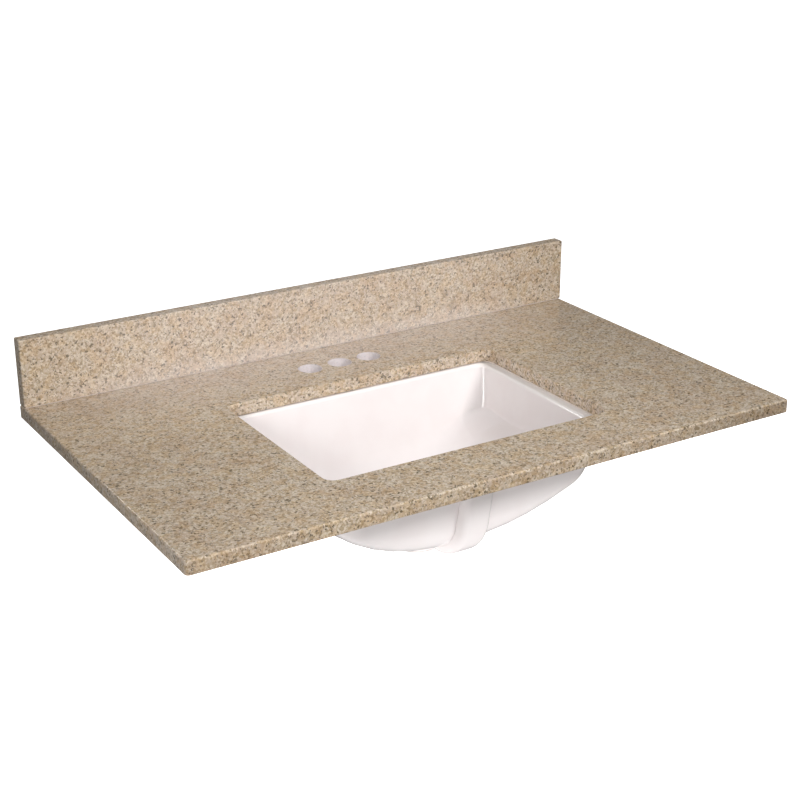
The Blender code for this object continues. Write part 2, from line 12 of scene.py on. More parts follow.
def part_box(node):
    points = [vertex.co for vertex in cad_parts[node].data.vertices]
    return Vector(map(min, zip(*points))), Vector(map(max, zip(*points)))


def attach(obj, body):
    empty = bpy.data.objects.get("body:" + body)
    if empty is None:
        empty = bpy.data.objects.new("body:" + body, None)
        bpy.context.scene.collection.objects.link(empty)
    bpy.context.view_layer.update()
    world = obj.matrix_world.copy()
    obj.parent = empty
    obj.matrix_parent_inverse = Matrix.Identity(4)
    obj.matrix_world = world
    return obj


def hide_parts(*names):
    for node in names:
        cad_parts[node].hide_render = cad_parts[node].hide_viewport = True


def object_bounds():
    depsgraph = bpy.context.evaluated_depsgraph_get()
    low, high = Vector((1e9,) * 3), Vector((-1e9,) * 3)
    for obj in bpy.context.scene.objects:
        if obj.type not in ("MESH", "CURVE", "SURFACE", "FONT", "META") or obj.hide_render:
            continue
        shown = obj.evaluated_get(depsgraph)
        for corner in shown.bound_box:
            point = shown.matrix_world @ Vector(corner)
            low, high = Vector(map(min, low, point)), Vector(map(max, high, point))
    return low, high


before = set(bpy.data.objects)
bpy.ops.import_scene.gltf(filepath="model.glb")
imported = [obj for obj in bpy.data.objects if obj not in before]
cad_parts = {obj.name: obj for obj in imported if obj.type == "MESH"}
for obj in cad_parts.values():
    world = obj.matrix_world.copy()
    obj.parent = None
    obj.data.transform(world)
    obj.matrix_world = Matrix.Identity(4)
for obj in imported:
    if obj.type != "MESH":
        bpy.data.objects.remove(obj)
cad_low, cad_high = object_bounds()


# Stone slab. Beige granite, sawn to 19 mm, then polished on its top, front and ends and round the cut-out,
# its top edge eased by hand. The three faucet holes are cored with a diamond bit and left raw. The rear and
# the underside, where the cabinet carries it, stay as the saw left them.
slab_low, slab_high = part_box("stone_slab")
slab_corner = 0.006
slab_top_round = 0.003
slab_foot_round = 0.0007

cutout_half_length = 0.4509 / 2
cutout_half_width = 0.2985 / 2
cutout_setback = 0.1029
cutout_corner = 0.016
cutout_top_round = 0.0014
bowl_y = slab_low.y + cutout_setback + cutout_half_width

faucet_hole_radius = 0.035 / 2
faucet_hole_spacing = 0.0508
faucet_hole_setback = 0.0889
cored_edge_round = 0.0005

anchor_hole_radius = 0.0101 / 2
anchor_hole_depth = 0.0127
anchor_hole_chamfer = 0.0004


def arc(centre, radius, start, end, steps):
    """Points along an arc, both ends included, its angles counted from +X."""
    turns = [start + (end - start) * i / steps for i in range(steps + 1)]
    return [(centre[0] + radius * math.cos(t), centre[1] + radius * math.sin(t)) for t in turns]


def eased_edge(thickness, foot_round, top_round, steps=8):
    """Side view of a slab's edge as depth into the stone and height, with a narrow flat before each round."""
    land = 0.0004
    foot = arc((foot_round, foot_round), foot_round, -math.pi / 2, -math.pi, steps)
    top = arc((top_round, thickness - top_round), top_round, math.pi, math.pi / 2, steps)
    return [(foot_round + land, 0), *foot, *top, (top_round + land, thickness)]


def strip_ring(low, high, corner, depth, height):
    """Outline of a piece that stands against the wall, its front corners round, drawn in by a depth."""
    left = arc((low.x + corner, low.y + corner), corner - depth, math.pi, math.pi * 3 / 2, steps=10)
    right = arc((high.x - corner, low.y + corner), corner - depth, -math.pi / 2, 0, steps=10)
    outline = [(low.x + depth, high.y), *left, *right, (high.x - depth, high.y)]
    return [Vector((x, y, height)) for x, y in outline]


def round_ring(radius, height, centre=(0, 0), sides=64):
    """Outline of a circle."""
    points = arc(centre, radius, 0, math.tau * (sides - 1) / sides, sides - 1)
    return [Vector((x, y, height)) for x, y in points]


def rounded_ring(half_x, half_y, corner, height, centre_y=0.0, corner_steps=16, side_steps=0):
    """Outline of a rectangle with round corners, and with points along its sides where they're wanted."""
    bends = []
    for quarter, (sx, sy) in enumerate(((1, 1), (-1, 1), (-1, -1), (1, -1))):
        centre = (sx * (half_x - corner), centre_y + sy * (half_y - corner))
        bends.append(arc(centre, corner, quarter * math.pi / 2, (quarter + 1) * math.pi / 2, corner_steps))
    outline = []
    for bend, following in zip(bends, bends[1:] + bends[:1]):
        start, end = Vector(bend[-1]), Vector(following[0])
        outline += bend + [start.lerp(end, (i + 1) / (side_steps + 1)) for i in range(side_steps)]
    return [Vector((*point, height)) for point in outline]


def band(bm, rings, finish=0, closed=False):
    """Skins a run of equal rings and returns its first and last loops of vertices."""
    loops = [[bm.verts.new(point) for point in ring] for ring in rings]
    for near, far in zip(loops, loops[1:] + loops[:1] if closed else loops[1:]):
        for i, corner in enumerate(near):
            j = (i + 1) % len(near)
            bm.faces.new((corner, near[j], far[j], far[i])).material_index = finish
    return loops[0], loops[-1]


def flat(bm, loops, finish=0):
    """Fills the flat face between loops, the first of them its outline and the others its holes."""
    edges = [bm.edges.get((loop[i - 1], loop[i])) for loop in loops for i in range(len(loop))]
    for made in bmesh.ops.triangle_fill(bm, use_beauty=True, edges=edges)["geom"]:
        if isinstance(made, bmesh.types.BMFace):
            made.material_index = finish


def mesh_of(shape):
    """A shape's mesh, its faces turned outwards."""
    bmesh.ops.recalc_face_normals(shape, faces=shape.faces)
    mesh = bpy.data.meshes.new("shape")
    shape.to_mesh(mesh)
    shape.free()
    return mesh


def fit(name, mesh, finishes, body, slot, *nodes, at=None):
    """Puts a mesh on its body in the place of its CAD nodes. Pieces that are alike share one mesh."""
    crease = math.radians(35)
    if not mesh.materials:
        mesh.name = name
        mesh.shade_smooth()
        mesh.set_sharp_from_angle(angle=crease)
        for finish in finishes:
            mesh.materials.append(finish)
    made = bpy.data.objects.new(name, mesh)
    bpy.context.scene.collection.objects.link(made)
    if at:
        made.location, made.rotation_euler = at
    made.modifiers.new("true_flats", "WEIGHTED_NORMAL").keep_sharp = True
    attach(made, body)
    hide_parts(*nodes)


class Wire:
    """A socket in a material. Sums on wires add Math nodes, and any other node comes from node()."""

    def __init__(self, socket):
        self.socket = socket

    def node(self, kind, settings, values, output=0):
        """Adds a node: its settings first, then the values or wires of its sockets."""
        tree = self.socket.id_data
        made = tree.nodes.new(kind)
        for name, setting in settings.items():
            if name == "stops":
                ramp = made.color_ramp.elements
                ramp.remove(ramp[1])
                ramp[0].position, ramp[0].color = setting[0]
                for position, tint in setting[1:]:
                    ramp.new(position).color = tint
            elif name == "interpolation":
                made.color_ramp.interpolation = setting
            else:
                setattr(made, name, setting)
        for name, value in values.items():
            if isinstance(value, Wire):
                tree.links.new(value.socket, made.inputs[name])
            else:
                made.inputs[name].default_value = value
        return Wire(made.outputs[output])

    def sum(self, operation, *values):
        """Any operation of the Math node on numbers and wires."""
        return self.node("ShaderNodeMath", {"operation": operation}, dict(enumerate(values)))

    def __add__(self, other):
        return self.sum("ADD", self, other)

    def __sub__(self, other):
        return self.sum("SUBTRACT", self, other)

    def __rsub__(self, other):
        return self.sum("SUBTRACT", other, self)

    def __mul__(self, other):
        return self.sum("MULTIPLY", self, other)

    __radd__ = __add__
    __rmul__ = __mul__

    def rise(self, low, high):
        """0 below low and 1 above high, with a soft step between them, or the other way round."""
        limits = {"Value": self, "From Min": low, "From Max": high}
        return self.node("ShaderNodeMapRange", {"interpolation_type": "SMOOTHSTEP"}, limits)

    def over(self, below, above, blend="MIX"):
        """Lays one colour over another where this mask is 1."""
        colours = {0: self, 6: below, 7: above}
        return self.node("ShaderNodeMix", {"data_type": "RGBA", "blend_type": blend}, colours, 2)

    def noise(self, size, detail=2.0, output=0):
        """Soft noise with features of a size in metres."""
        values = {"Vector": self, "Scale": 1 / size, "Detail": detail}
        return self.node("ShaderNodeTexNoise", {}, values, output)

    def cells(self, size, output="Color"):
        """Crystals of a size in metres."""
        return self.node("ShaderNodeTexVoronoi", {}, {"Vector": self, "Scale": 1 / size}, output)

    def shade(self, channel):
        """One channel of a colour as a number."""
        return self.node("ShaderNodeSeparateColor", {}, {0: self}, channel)

    def shifted(self, by, reach):
        """Places shifted by a noise colour, up to a reach in metres."""
        values = {0: by, 1: (reach, reach, reach), 2: self}
        return self.node("ShaderNodeVectorMath", {"operation": "MULTIPLY_ADD"}, values)

    def bump(self, depth, strength=1.0):
        """A surface raised by this height, which is 1 for a depth in metres."""
        return self.node("ShaderNodeBump", {}, {"Height": self, "Distance": depth, "Strength": strength})


def new_finish(name, **constants):
    """A material, the wire that holds each point's place on the piece, and what links wires to its shader."""
    material = bpy.data.materials.new(name)
    material.use_nodes = True
    tree = material.node_tree
    shader = tree.nodes["Principled BSDF"]
    for socket, value in constants.items():
        shader.inputs[socket.replace("_", " ")].default_value = value

    def varies(**wires):
        for socket, wire in wires.items():
            tree.links.new(wire.socket, shader.inputs[socket.replace("_", " ")])
        return material

    return Wire(tree.nodes.new("ShaderNodeTexCoord").outputs["Object"]), varies


def colour(red, green, blue):
    """A colour from its values on a screen, 0 to 255."""
    shares = (red / 255, green / 255, blue / 255)
    return (*(s / 12.92 if s < 0.04045 else ((s + 0.055) / 1.055) ** 2.4 for s in shares), 1)


def paint_light_and_shade(stone, place):
    """Painted light and shade: the stone paler towards the wall by a painted sheen, and darker at its ends
    and along its front edge by painted shade.
    """
    across, depth, height = (place.node("ShaderNodeSeparateXYZ", {}, {0: place}, axis) for axis in range(3))
    from_middle = across.sum("ABSOLUTE", across)
    skin = 0.0008
    left_end = across.rise(slab_low.x + skin, slab_low.x + skin / 4)
    front_edge = depth.rise(slab_low.y + skin, slab_low.y + skin / 4)
    to_wall = depth.rise(-0.55, 0.0)
    behind_bowl = depth.rise(-0.19, -0.03)
    on_splash = depth.rise(-0.012, -0.0095)
    splash_foot = height.rise(0.06, 0.02)
    off_ends = from_middle.rise(0.54, 0.2)
    # painted sheen and light: paler behind the bowl, at the splash's foot and at the front of the left end
    painted_light = (behind_bowl * 0.2 + on_splash * (splash_foot * 0.17 - 0.07)) * off_ends
    painted_light = painted_light + left_end * (0.08 - to_wall * 0.08)
    stone = painted_light.over(stone, colour(236, 230, 234))
    # painted shade: darker at the ends, along the front edge towards the right, and towards the wall on the
    # left end
    to_right = across.rise(0.1, 0.47)
    to_ends = from_middle.rise(0.22, 0.47)
    dark = front_edge * (to_right * 0.3 + 0.15) + to_ends * 0.14 + left_end * (to_wall * 0.38 - 0.16)
    return dark.over(stone, colour(150, 140, 126), "MULTIPLY")


def granite(name, gloss, dust=0.0, saw_marks=0.0):
    """Granite of cream and rosy feldspar, honey and grey quartz and small dark mica, polished or left raw."""
    place, varies = new_finish(name, IOR=1.55)
    crystal_size, grit_size, veil_size, cloud_size, rust_spacing = 0.0029, 0.0016, 0.014, 0.04, 0.05
    crystals = place.shifted(place.noise(0.005, output=1), 0.002).cells(crystal_size)
    feldspar_and_quartz = (
        (0.0, colour(125, 113, 94)),
        (0.05, colour(164, 147, 123)),
        (0.17, colour(184, 165, 138)),
        (0.34, colour(195, 178, 157)),
        (0.58, colour(203, 186, 167)),
        (0.82, colour(216, 202, 182)),
    )
    settings = {"interpolation": "CONSTANT", "stops": feldspar_and_quartz}
    stone = crystals.node("ShaderNodeValToRGB", settings, {0: crystals.shade(0)})
    grit = place.shifted(place.noise(0.002, output=1), 0.001).cells(grit_size)
    chalk = grit.shade(0).rise(0.86, 0.9) * 0.5
    stone = chalk.over(stone, colour(232, 221, 206))
    mica = grit.shade(1).rise(0.94, 0.955) * 0.75
    stone = mica.over(stone, colour(88, 78, 66))
    veil = place.noise(veil_size, 3.0).rise(0.42, 0.64)
    stone = (veil * 0.4).over(stone, colour(250, 229, 190), "MULTIPLY")
    cloud = place.noise(cloud_size).rise(0.4, 0.66)
    stone = (cloud * 0.45).over(stone, colour(242, 233, 228), "MULTIPLY")
    # painted light and shade laid into the stone's colour
    stone = paint_light_and_shade(stone, place)
    rust_spots = place.shifted(place.noise(0.004, output=1), 0.003).cells(rust_spacing, output="Distance")
    stone = (rust_spots.rise(0.05, 0.02) * 0.5).over(stone, colour(150, 104, 66))
    if dust:
        stone = (grit.shade(2) * 0.25 + (dust - 0.12)).over(stone, colour(212, 205, 208))
    relief = mica * -1.0 + crystals.shade(2) * 0.2
    if saw_marks:
        sweep = place.node("ShaderNodeTexWave", {}, {"Vector": place, "Scale": 60, "Distortion": 3})
        relief = relief + sweep * saw_marks + place.noise(0.0012, 3.0) * 4
    rough = gloss + mica * 0.12 + crystals.shade(1) * 0.03
    return varies(Base_Color=stone, Roughness=rough, Normal=relief.bump(0.00003))


granite_finishes = (
    granite("polished_granite", gloss=0.2),
    granite("sawn_granite", gloss=0.7, dust=0.25, saw_marks=3.0),
    granite("cored_granite", gloss=0.85, dust=0.8, saw_marks=2.0),
)
polished, sawn, cored = range(3)


def leave_sawn(bm, wall):
    """The faces at the wall and underneath keep the finish of the saw."""
    hair = 0.00001
    bm.normal_update()
    for face in bm.faces:
        at_wall = min(v.co.y for v in face.verts) > wall - hair
        underneath = abs(face.normal.z) > 0.99 and face.calc_center_median().z < 10 * hair
        if at_wall or (underneath and face.material_index == polished):
            face.material_index = sawn


slab = bmesh.new()
thickness = slab_high.z
slab_edge = eased_edge(thickness, slab_foot_round, slab_top_round)
foot, top = band(slab, [strip_ring(slab_low, slab_high, slab_corner, d, z) for d, z in slab_edge])
feet, tops = [foot], [top]


def cutout_ring(depth, height):
    """Outline of the cut-out, let into the stone by a depth."""
    half_x, half_y = cutout_half_length + depth, cutout_half_width + depth
    return rounded_ring(half_x, half_y, cutout_corner + depth, height, bowl_y)


cutout_edge = eased_edge(thickness, slab_foot_round, cutout_top_round, steps=5)
foot, top = band(slab, [cutout_ring(d, z) for d, z in cutout_edge])
feet.append(foot)
tops.append(top)
cored_edge = eased_edge(thickness, cored_edge_round, cored_edge_round, steps=3)
for place_in_row in (-1, 0, 1):
    centre = (place_in_row * faucet_hole_spacing, slab_high.y - faucet_hole_setback)
    hole = [round_ring(faucet_hole_radius + d, z, centre) for d, z in cored_edge]
    foot, top = band(slab, hole, cored)
    feet.append(foot)
    tops.append(top)
stations = {}
bore_side = [(anchor_hole_chamfer, 0), (0, anchor_hole_chamfer), (0, anchor_hole_depth)]
for where in ("front_left", "front_right", "rear_left", "rear_right"):
    low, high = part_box(f"stud_{where}")
    stations[where] = (low + high) / 2
    centre = stations[where].xy
    bore = [round_ring(anchor_hole_radius + d, z, centre, sides=32) for d, z in bore_side]
    foot, top = band(slab, bore, cored)
    slab.faces.new(top).material_index = cored
    feet.append(foot)
flat(slab, tops)
flat(slab, feet, sawn)
leave_sawn(slab, slab_high.y)
fit("polished_slab", mesh_of(slab), granite_finishes, "root", "granite", "stone_slab")


# Backsplash. A strip of the same granite, 100 mm high, that stands on the slab's rear on a bed of silicone.
# Its face, top and ends are polished, their edges just taken off. Its rear, against the wall, is left sawn.
splash_low, splash_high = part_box("backsplash")
splash_height = splash_high.z - splash_low.z
splash_corner = 0.0022
splash_top_round = 0.002
splash_foot_round = 0.0004

splash = bmesh.new()
splash_edge = eased_edge(splash_height, splash_foot_round, splash_top_round, steps=6)[1:-1]
rings = [strip_ring(splash_low, splash_high, splash_corner, d, splash_low.z + z) for d, z in splash_edge]
foot, top = band(splash, rings)
flat(splash, [top])
flat(splash, [foot], sawn)
leave_sawn(splash, splash_high.y)
fit("polished_backsplash", mesh_of(splash), granite_finishes, "root", "granite", "backsplash")


# Sealant beds. Neutral silicone, almost white, run under the backsplash and round the bowl's flange. It was
# squeezed out as the pieces were pressed home, and its edge is left slightly hollow and uneven.
bed_low, bed_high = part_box("backsplash_sealant")
bed_corner = 0.0015
bead_low, bead_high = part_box("basin_sealant")
bead_width = 0.0097
bead_half_length = (bead_high.x - bead_low.x) / 2
bead_half_width = (bead_high.y - bead_low.y) / 2
bead_corner = cutout_corner + bead_half_length - cutout_half_length
hollow = 0.0004


def silicone(name):
    """Silicone, a little uneven in its colour and smeared where a finger has smoothed it."""
    place, varies = new_finish(name, Specular_IOR_Level=0.45)
    cast = place.noise(0.006, 3.0)
    smear = place.noise(0.0015, 2.0)
    body = cast.rise(0.3, 0.7).over(colour(240, 229, 221), colour(246, 237, 229))
    relief = cast + smear * 0.3
    return varies(Base_Color=body, Roughness=0.34 + smear * 0.15, Normal=relief.bump(0.0002, 0.6))


def squeezed(thickness, steps=6):
    """Side view of a squeezed bead's edge as depth and height, its middle drawn in."""
    shares = [i / steps for i in range(steps + 1)]
    return [(hollow * math.sin(math.pi * share), thickness * share) for share in shares]


def bead_ring(depth, height):
    """Outline of the bead round the flange, drawn in by a depth."""
    half_x, half_y = bead_half_length - depth, bead_half_width - depth
    return rounded_ring(half_x, half_y, bead_corner - depth, height, bowl_y, corner_steps=12, side_steps=40)


silicone_bead = silicone("silicone_bead")
bed = bmesh.new()
bed_edge = squeezed(bed_high.z - bed_low.z)
foot, top = band(bed, [strip_ring(bed_low, bed_high, bed_corner, d, bed_low.z + z) for d, z in bed_edge])
flat(bed, [top])
flat(bed, [foot])
fit("backsplash_bed", mesh_of(bed), (silicone_bead,), "root", "silicone", "backsplash_sealant")

bead = bmesh.new()
bead_edge = squeezed(bead_high.z - bead_low.z)
bead_outside = [bead_ring(d, bead_low.z + z) for d, z in bead_edge]
bead_inside = [bead_ring(bead_width - d, bead_low.z + z) for d, z in reversed(bead_edge)]
band(bead, bead_outside + bead_inside, closed=True)
fit("bowl_bead", mesh_of(bead), (silicone_bead,), "root", "silicone", "basin_sealant")


# Bowl. Slip-cast vitreous china, glazed but for the ground foot of its outlet, with the overflow's slot and
# duct cast in its front wall. Its floor drops steeply from the ends, then flattens towards the drain. Four
# clips press its flange up against the bead, and its lip shows as a ledge at the ends of the cut-out.
china_low, china_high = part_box("basin")
china = 0.0095
end_ledge = 0.007
stone_overhang = 0.005
bowl_half_length = cutout_half_length - end_ledge
bowl_half_width = cutout_half_width + stone_overhang
draft = math.radians(10.5)
bowl_depth = 0.137
bottom_fillet = 0.05
floor_fall = 0.005
end_depth = 0.065
end_fillet = 0.012
end_slope = math.radians(47)
camber_power = 2.5

lip_round = 0.006
rim_corner = 0.013
wall_top_corner = 0.016
wall_foot_corner = 0.034
floor_corner = 0.04

flange_reach = 0.025
flange_thickness = 0.012
flange_corner = 0.032
flange_round = 0.002
flange_root = 0.005

drain_hole = 0.045 / 2
drain_seat = 0.062 / 2
drain_step = 0.0025
drain_edge = 0.001
boss = 0.076 / 2
boss_fillet = 0.006
boss_round = 0.002

slot_half_length = 0.042 / 2
slot_half_height = 0.011 / 2
slot_drop = 0.04
duct_width = 0.038
duct_depth = 0.012
duct_skin = 0.006
duct_headroom = 0.004
duct_casing = 0.006
casing_clearance = 0.0003
sliver = 0.0001

flange_top = china_high.z
flange_foot = flange_top - flange_thickness
floor_level = flange_top - bowl_depth
end_level = flange_top - end_depth
seat_level = floor_level - floor_fall - drain_step
lip_steps, fillet_steps, floor_steps = 12, 24, 10
corner_points, side_points = 20, 10


def between(start, end, share):
    """The number at a share of the way from start to end."""
    return start + (end - start) * share


def bowl_ring(inset, height, corner, end_inset=None, end_height=None, lean=0.0):
    """A ring of the bowl, drawn in from the lip's edge. At the bowl's ends it may rise and lean out."""
    end_inset = inset if end_inset is None else end_inset
    end_height = height if end_height is None else end_height
    half_x, half_y = bowl_half_length - end_inset, bowl_half_width - inset
    ring = rounded_ring(half_x, half_y, corner, height, 0, corner_points, side_points)
    for point in ring:
        share = min(abs(point.x) / half_x, 1) ** camber_power
        point.y += bowl_y + math.copysign(lean * share, point.y)
        point.z = between(height, end_height, share)
    return ring


def drain_ring(radius, height):
    """A round ring whose points face those of the bowl's rings."""
    count = 4 * (corner_points + 1 + side_points)
    angles = [math.tau * (i + (side_points + 1) / 2) / count for i in range(count)]
    return [Vector((radius * math.cos(a), bowl_y + radius * math.sin(a), height)) for a in angles]


def wall_inset(height):
    """How far the wall lies inside the lip's edge at a height."""
    lip_foot = flange_top - lip_round + lip_round * math.sin(draft)
    return lip_round * math.cos(draft) + (lip_foot - height) * math.tan(draft)


def bend_point(share, radius, foot_turn, foot_height, outset):
    """A point of a fillet, from the wall at 0 to the floor at 1, as inset and height."""
    centre_height = foot_height + radius * math.sin(foot_turn)
    centre_inset = wall_inset(centre_height - radius * math.sin(draft)) + radius * math.cos(draft)
    turn = between(draft, foot_turn, share)
    reach = radius + outset
    return centre_inset - reach * math.cos(turn), centre_height - reach * math.sin(turn)


def fillet_point(share, outset=0.0):
    """A point of the large fillet under the front or rear wall."""
    return bend_point(share, bottom_fillet, math.pi / 2, floor_level, outset)


def end_point(share, outset=0.0):
    """A point of the tight bend at the foot of an end wall."""
    return bend_point(share, end_fillet, math.pi / 2 - end_slope, end_level, outset)


def lean_between(height, end_height):
    """How far the wall leans out on its way up from one height to another."""
    return (end_height - height) * math.tan(draft)


def fillet_rings(outset):
    """Rings down the large fillets under the long walls and the tight bends under the end walls."""
    lean = lean_between(fillet_point(0)[1], end_point(0)[1])
    for i in range(fillet_steps + 1):
        share = i / fillet_steps
        corner = between(wall_foot_corner, floor_corner, share) + outset * (1 - share)
        yield bowl_ring(*fillet_point(share, outset), corner, *end_point(share, outset), lean)


def floor_rings(outset, radius):
    """Rings from the fillets' foot to a round one, steep at the bowl's ends and flatter towards the drain."""
    edge_of_floor = list(fillet_rings(outset))[-1]
    drain = drain_ring(radius, fillet_point(1, outset)[1] - floor_fall)
    for i in range(floor_steps):
        share = (i + 1) / floor_steps
        ring = [a.lerp(b, share) for a, b in zip(edge_of_floor, drain)]
        for point, start, end in zip(ring, edge_of_floor, drain):
            point.z = between(end.z, start.z, (1 - share) ** camber_power)
        yield ring


def lip_rings():
    """The rounded lip, and the wall's first run below it, where its corners start to open out."""
    for i in range(lip_steps + 1):
        turn = (math.pi / 2 - draft) * i / lip_steps
        corner = between(rim_corner, wall_top_corner, i / lip_steps)
        height = flange_top - lip_round * (1 - math.cos(turn))
        yield bowl_ring(lip_round * math.sin(turn), height, corner)


def wall_rings(outset, top_height, top_corner, foot_corner, steps=8):
    """Rings down the straight of the wall, both of its ends left out."""
    foot, end_foot = fillet_point(0, outset)[1], end_point(0, outset)[1]
    for i in range(1, steps):
        heights = between(top_height, foot, i / steps), between(top_height, end_foot, i / steps)
        inset, end_inset = (wall_inset(h) - outset / math.cos(draft) for h in heights)
        corner = between(top_corner, foot_corner, i / steps)
        yield bowl_ring(inset, heights[0], corner, end_inset, heights[1], lean_between(*heights))


def flange_rings():
    """The flange's edge, round at its top and foot, and the fillet between its underside and the wall."""
    top = arc((flange_round, flange_top - flange_round), flange_round, math.pi / 2, math.pi, steps=5)
    foot = arc((flange_round, flange_foot + flange_round), flange_round, math.pi, math.pi * 3 / 2, steps=5)
    for inset, height in top + foot:
        half_x = cutout_half_length + flange_reach - inset
        half_y = cutout_half_width + flange_reach - inset
        corner = flange_corner - inset
        yield rounded_ring(half_x, half_y, corner, height, bowl_y, corner_points, side_points)
    root_height = flange_foot - flange_root
    root_inset = wall_inset(root_height) - china / math.cos(draft)
    root_centre = (root_inset - flange_root, root_height)
    for inset, height in arc(root_centre, flange_root, math.pi / 2, 0, steps=6):
        yield bowl_ring(inset, height, wall_top_corner + china + root_inset - inset)


def outlet_rings():
    """The drain's boss, throat and seat, from the floor's underside up to the seat's edge."""
    underside = floor_level - china - floor_fall
    foot = china_low.z
    rim = floor_level - floor_fall - drain_edge
    outline = [
        *arc((boss + boss_fillet, underside - boss_fillet), boss_fillet, math.pi / 2, math.pi, steps=6)[1:],
        *arc((boss - boss_round, foot + boss_round), boss_round, 0, -math.pi / 2, steps=5),
        (drain_hole + boss_round / 2, foot),
        (drain_hole, foot + boss_round / 2),
        *arc((drain_hole + drain_edge, seat_level - drain_edge), drain_edge, math.pi, math.pi / 2, steps=4),
        *arc((drain_seat - drain_edge, seat_level + drain_edge), drain_edge, -math.pi / 2, 0, steps=4),
        *arc((drain_seat + drain_edge, rim), drain_edge, math.pi, math.pi / 2, steps=4)[:-1],
    ]
    return [drain_ring(radius, height) for radius, height in outline]


lip_foot_height = flange_top - lip_round * (1 - math.sin(draft))
wall_top_height = flange_foot - flange_root
bowl_inside = [
    *lip_rings(),
    *wall_rings(0.0, lip_foot_height, wall_top_corner, wall_foot_corner),
    *fillet_rings(0.0),
    *floor_rings(0.0, drain_seat + drain_edge),
]
bowl_outside = [
    *flange_rings(),
    *wall_rings(china, wall_top_height, wall_top_corner + china, wall_foot_corner + china),
    *fillet_rings(china),
    *floor_rings(china, boss + boss_fillet),
    *outlet_rings(),
]


def glazed_china(name):
    """China under a clear glaze that pools a little, with painted light making it palest on the lip, its foot
    ground bare.
    """
    place, varies = new_finish(name, IOR=1.52)
    height = place.node("ShaderNodeSeparateXYZ", {}, {0: place}, 2)
    bare = height.rise(china_low.z + 0.0018, china_low.z + 0.0012)
    # painted light: a paler glaze on the lip and the ledge beside the stone's edge, laid over the glaze below
    lip = height.rise(flange_top - lip_round, flange_top - lip_round / 6)
    pooled = place.noise(0.05).rise(0.35, 0.65)
    iron_specks = place.cells(0.004, output="Distance").rise(0.09, 0.05) * place.noise(0.02).rise(0.66, 0.7)
    glaze = pooled.over(colour(240, 233, 232), colour(242, 236, 235))
    glaze = lip.over(glaze, colour(252, 247, 245))
    glaze = (iron_specks * 0.2).over(glaze, colour(206, 194, 182))
    grain = place.noise(0.0006, 3.0)
    biscuit = grain.over(colour(216, 206, 192), colour(232, 224, 212))
    relief = place.noise(0.035, 1.0) * 0.5 + place.noise(0.008, 1.0) * 0.03 + bare * grain * 0.12
    return varies(
        Base_Color=bare.over(glaze, biscuit),
        Roughness=0.05 + pooled * 0.012 + bare * 0.5,
        Normal=relief.bump(0.0004),
    )


def duct_path(headroom, end, steps=6):
    """Centre line of the overflow's duct, down behind the front wall and in under the floor to the throat."""
    out = duct_skin + duct_depth / 2
    top_height = flange_top - slot_drop + slot_half_height + headroom
    path = [(wall_inset(top_height) - out / math.cos(draft), top_height)]
    path += [fillet_point(i / fillet_steps, out) for i in range(fillet_steps + 1)]
    inset, height = path[-1]
    throat = bowl_half_width - drain_seat
    shares = [(i + 1) / steps for i in range(steps)]
    path += [(between(inset, throat, share), height - floor_fall * share) for share in shares]
    path.append((bowl_half_width - end, path[-1][1]))
    return [Vector((0, bowl_y - bowl_half_width + y, z)) for y, z in path]


def capped(rings, shape=None):
    """Rings skinned and closed at both ends, as a new shape or in one that has other parts already."""
    shape = shape if shape else bmesh.new()
    for cap in band(shape, rings):
        shape.faces.new(cap)
    return shape


def swept(path, width, depth):
    """A flat duct with round edges along a path."""
    across = Vector((1, 0, 0))
    section = rounded_ring(width / 2, depth / 2, depth / 2 - sliver, 0, corner_steps=8, side_steps=1)
    rings = []
    for i, middle in enumerate(path):
        run = (path[min(i + 1, len(path) - 1)] - path[max(i - 1, 0)]).normalized()
        out = across.cross(run)
        rings.append([middle + across * p.x + out * p.y for p in section])
    return capped(rings)


def worked(mesh, *steps):
    """A mesh after some steps of work, each a modifier's kind and settings."""
    item = bpy.data.objects.new("work", mesh)
    bpy.context.scene.collection.objects.link(item)
    for kind, settings in steps:
        step = item.modifiers.new(kind, kind)
        for name, setting in settings.items():
            setattr(step, name, setting)
    done = item.evaluated_get(bpy.context.evaluated_depsgraph_get())
    mesh = bpy.data.meshes.new_from_object(done)
    bpy.data.objects.remove(item)
    return mesh


def carved(mesh, shape, operation="DIFFERENCE"):
    """A mesh with a shape cut away from it, or joined to it."""
    tool = bpy.data.objects.new("tool", mesh_of(shape))
    bpy.context.scene.collection.objects.link(tool)
    mesh = worked(mesh, ("BOOLEAN", {"operation": operation, "solver": "EXACT", "object": tool}))
    bpy.data.objects.remove(tool)
    return mesh


bowl_shape = bmesh.new()
band(bowl_shape, bowl_inside[::-1] + bowl_outside, closed=True)
bowl = mesh_of(bowl_shape)
casing_width = duct_width + 2 * duct_casing
casing_depth = duct_depth + 2 * duct_casing - casing_clearance
casing_path = duct_path(duct_headroom + duct_casing, (boss + drain_hole) / 2)
bowl = carved(bowl, swept(casing_path, casing_width, casing_depth), "UNION")
bowl = carved(bowl, swept(duct_path(duct_headroom, 0.0), duct_width, duct_depth))
slot_level = flange_top - slot_drop
slot_face = bowl_y - bowl_half_width + wall_inset(slot_level)
slot_back = duct_skin + duct_depth / 2
slot_mouth = ((0.004, 0.0014), (0.001, 0.001), (0, 0.0005), (-0.0008, 0), (-slot_back, 0))
slot_rings = []
for stands_out, flare in slot_mouth:
    half_height = slot_half_height + flare
    section = rounded_ring(slot_half_length + flare, half_height, half_height - sliver, 0)
    face = slot_face + stands_out
    slot_rings.append([Vector((p.x, face - p.y * math.tan(draft), slot_level + p.y)) for p in section])
bowl = carved(bowl, capped(slot_rings))
fit("glazed_bowl", bowl, (glazed_china("glazed_china"),), "root", "vitreous_china", "basin")


